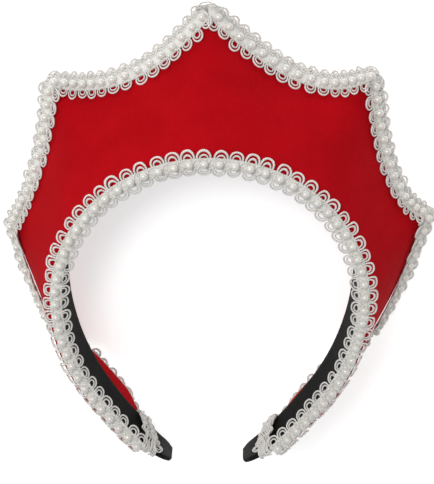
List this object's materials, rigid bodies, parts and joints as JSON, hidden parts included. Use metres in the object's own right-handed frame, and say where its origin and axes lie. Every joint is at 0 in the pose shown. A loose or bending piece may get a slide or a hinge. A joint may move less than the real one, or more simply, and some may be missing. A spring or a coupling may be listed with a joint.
{
  "type": "french hood headdress on a headband",
  "caption": "French hood headdress lying on its back: wide black headband, red five-pointed crest, pearl braid round the front edge and the rim.",
  "frame": {"origin": "below the middle of the whole hood, on the surface it lies on", "axes": "+X to the right seen from the front, +Y towards the hood's top point, +Z out of its front"},
  "size_m": [0.1954, 0.2146, 0.0493],
  "materials": {
    "band_cloth": "black satin cloth stretched over a stiff band",
    "crest_felt": "matt red felt over board",
    "braid": "white corded braid",
    "pearl": "off-white pearl bead"
  },
  "bodies": {
    "root": {"headband": "band_cloth", "crest": "crest_felt", "front_braid": "braid", "left_rim_braid": "braid", "right_rim_braid": "braid", "left_braid_wrap": "braid", "right_braid_wrap": "braid"}
  },
  "joints": []
}
